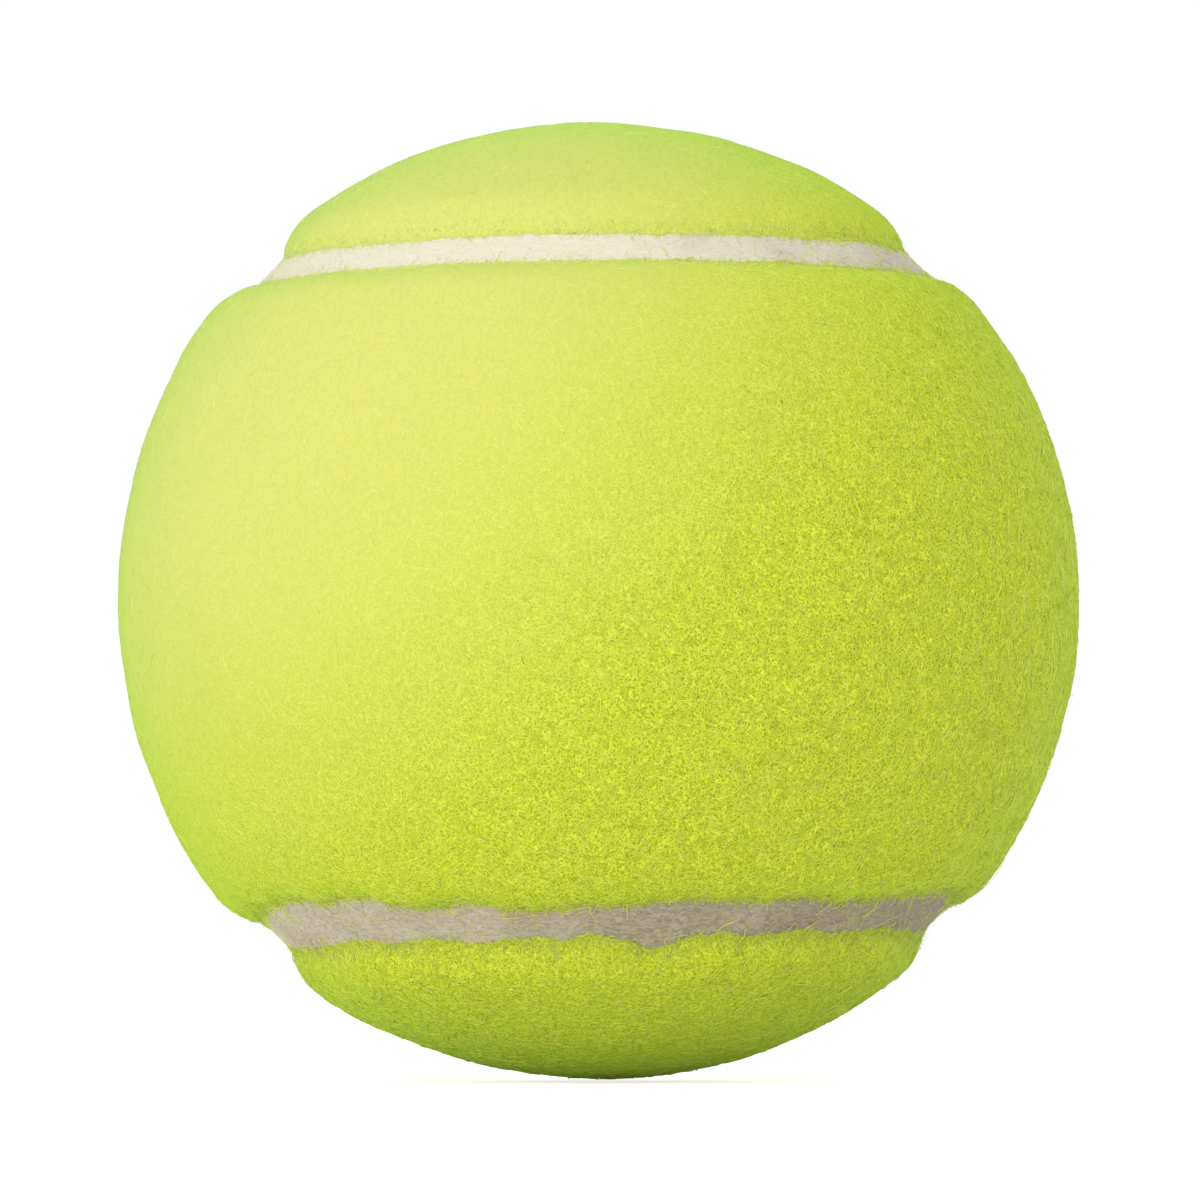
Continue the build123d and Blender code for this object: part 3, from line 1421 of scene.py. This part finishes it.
@dataclass(frozen=True)
class Studio:
    """A white floor and backdrop, a soft light from the front left and an evenly lit room.

    Attributes:
        floor_height: Where the ball stands.
        floor_size: Length of the floor's side.
        floor_colour: What the floor reflects.
        floor_glow: What it adds for the camera, up to white.
        dark_side: Light from the room's darkest side, behind the ball.
        bright_side: Light from its brightest side.
        bright_azimuth: Where the room is brightest, in degrees to the right of the viewer.
        bright_elevation: The same, in degrees above the horizon.
        lights: The lamps.
    """

    floor_height: float
    floor_size: float = 6.0
    floor_colour: Colour = (0.97, 0.97, 0.97)
    floor_glow: float = 0.7
    dark_side: Colour = (0.53, 0.55, 0.535)
    bright_side: Colour = (1.23, 1.215, 1.16)
    bright_azimuth: float = -12.0
    bright_elevation: float = -25.0
    lights: tuple[SoftLight, ...] = (KEY_LIGHT,)

    def set_up(self) -> None:
        """Makes the floor, the backdrop and the lights."""
        self.lay_floor()
        self.light_room()
        for light in self.lights:
            light.hang()

    def lay_floor(self) -> None:
        """Lays the floor, which the camera sees as white and which keeps the ball's shadow."""
        half = self.floor_size / 2
        corners = np.array([(-half, -half, 0), (half, -half, 0), (half, half, 0), (-half, half, 0)])
        mesh = new_mesh("studio_floor", corners + (0, 0, self.floor_height), np.array([[0, 1, 2, 3]]))
        floor = add_object(mesh)
        graph = FinishGraph("studio_white")
        glow = graph.maths("MULTIPLY", graph.seen(), self.floor_glow)
        look = {"Base Color": self.floor_colour, "Roughness": 1.0, "Specular IOR Level": 0.0}
        look |= {"Emission Color": WHITE, "Emission Strength": glow}
        mesh.materials.append(graph.dress(look))

    def light_room(self) -> None:
        """Fills the room with light that rises evenly to one side, before a white backdrop."""
        world = bpy.data.worlds.new("studio_room")
        bpy.context.scene.world = world
        world.use_nodes = True
        graph = NodeGraph(world.node_tree)
        out = next(node for node in graph.nodes if node.type == "OUTPUT_WORLD")
        room = next(node for node in graph.nodes if node.type == "BACKGROUND")
        brightest = from_viewer(self.bright_azimuth, self.bright_elevation)
        toward = graph.toward(graph.add("TexCoord").outputs["Generated"], brightest)
        share = graph.rise(toward, -1.0, 1.0, "LINEAR")
        graph.put(room.inputs["Color"], graph.blend(share, self.dark_side, self.bright_side))
        backdrop = graph.add("Background", {"Color": WHITE})
        choice = {0: graph.seen(), 1: room.outputs[0], 2: backdrop.outputs[0]}
        graph.put(out.inputs["Surface"], graph.add("MixShader", choice).outputs[0])


@dataclass(frozen=True)
class PhotoCamera:
    """The photograph's view of the ball.

    Attributes:
        ball_radius: Radius of the ball.
        distance: From the ball's centre, in ball radii.
        elevation: Degrees above the horizon.
        image_side: Side of the photograph, in pixels.
        ball_centre: The ball's middle there, in pixels from the upper left corner.
        ball_reach: The ball's radius there, in pixels.
        nearest: Nearest distance that it sees.
    """

    ball_radius: float
    distance: float = 18.0
    elevation: float = -2.45
    image_side: float = 1200.0
    ball_centre: tuple[float, float] = (598.0, 600.5)
    ball_reach: float = 481.6
    nearest: float = 0.01

    def place(self) -> None:
        """Makes the camera that the scene is seen through."""
        data = bpy.data.cameras.new("photo_camera")
        camera = add_object(data)
        aim(camera, self.distance * self.ball_radius * from_viewer(0, self.elevation))
        seen_slope = 1 / sqrt(self.distance**2 - 1)
        frame_slope = seen_slope * self.image_side / 2 / self.ball_reach
        data.lens = data.sensor_width / 2 / frame_slope
        data.shift_x = 0.5 - self.ball_centre[0] / self.image_side
        data.shift_y = self.ball_centre[1] / self.image_side - 0.5
        data.clip_start = self.nearest
        bpy.context.scene.camera = camera


@dataclass
class Nap:
    """All fibres of one felt panel, in counts that would go all round the ball.

    Attributes:
        shape: The ball.
        panel: The panel that they grow on.
        finish: Material of the fibres.
        loose: Material of the long loose ones.
        seed: Start of the random draws.
        batches: How many pieces the short fibres make up.
        batch: Short fibres of each such piece.
        nap_inset: Their least distance from the panel's edge.
        strays: Long loose fibres.
        stray_inset: Their least distance from the edge.
        edge_fibres: Fibres that lean over the seam.
        edge_strip: Width of the strip that they grow on.
        edge_fuzz: Fine fibres that stand up beside the seam.
        fuzz_strip: Width of the strip that they grow on.
        whole: A distance from the edge that no place on a panel has.
    """

    shape: BallShape
    panel: Panel
    finish: Material
    loose: Material
    seed: int
    batches: int = 4
    batch: int = 19000
    nap_inset: float = 0.0002
    strays: int = 1100
    stray_inset: float = 0.001
    edge_fibres: int = 210000
    edge_strip: float = 0.0009
    edge_fuzz: int = 340000
    fuzz_strip: float = 0.0007
    whole: float = 1.0

    def grow(self) -> None:
        """Makes the panel's fibres, piece by piece."""
        place = self.panel.value
        for number in range(self.batches):
            coat = self.coat(f"nap_{place}_{number + 1}", NAP, self.finish, draw=number)
            self.lay(coat, self.batch, self.nap_inset)
        loose = self.coat(f"loose_fibres_{place}", STRAY, self.loose, draw=20)
        self.lay(loose, self.strays, self.stray_inset)
        edge = self.coat(f"edge_fibres_{place}", EDGE, self.finish, draw=21)
        self.lean(edge, self.edge_fibres, self.edge_strip)
        fuzz = self.coat(f"edge_fuzz_{place}", FUZZ, self.finish, draw=22)
        self.lean(fuzz, self.edge_fuzz, self.fuzz_strip)

    def coat(self, name: str, style: StrandStyle, finish: Material, draw: int) -> FibreCoat:
        """A coat of fibres with a random draw of its own."""
        return FibreCoat(name, self.shape, style, finish, self.seed + draw)

    def lay(self, coat: FibreCoat, count: int, inset: float) -> None:
        """Lays a coat along the nap, all over the panel inside an inset from its edge."""
        roots = coat.roots(count, inset, self.whole, self.panel)
        coat.build(roots, coat.brushed(roots))

    def lean(self, coat: FibreCoat, count: int, strip: float) -> None:
        """Lets a coat lean over the seam, from a strip along the panel's edge."""
        roots = coat.roots(count, 0.0, strip, self.panel)
        coat.build(roots, coat.towards_seam(roots))


@dataclass
class SeamLint:
    """Short loose fibres that have settled on the seam.

    Attributes:
        shape: The ball.
        finish: Their material.
        count: How many there would be if the whole ball were as dusty.
        seed: Start of the random draw.
    """

    shape: BallShape
    finish: Material
    count: int = 10000
    seed: int = 300

    def scatter(self) -> None:
        """Makes the fibres as one piece."""
        coat = FibreCoat("seam_lint", self.shape, LINT, self.finish, self.seed)
        roots = coat.roots_on_seam(self.count)
        coat.build(roots, coat.rng.uniform(0, 2 * pi, len(roots)))


def main() -> None:
    """Builds the ball from the inside out, in its studio."""
    logging.basicConfig(level=logging.INFO, format="%(name)s: %(message)s")
    bpy.context.scene.view_settings.view_transform = "Standard"
    shape = BallShape.from_frame()
    PhotoCamera(shape.ball_radius).place()
    Studio(floor_height=cad_box[0].z).set_up()
    Core(MouldedRubberFinish().make(), CementFinish().make()).dress()
    SeamBand(shape, SeamFinish().make()).build()
    felt, fibre, loose = FeltFinish().make(), FibreFinish().make(), LOOSE_FIBRE.make()
    for panel, seed in ((Panel.FRONT, 100), (Panel.REAR, 200)):
        FeltCover(shape, panel, felt).build()
        Nap(shape, panel, fibre, loose, seed).grow()
    SeamLint(shape, fibre).scatter()


if __name__ == "__main__":
    main()
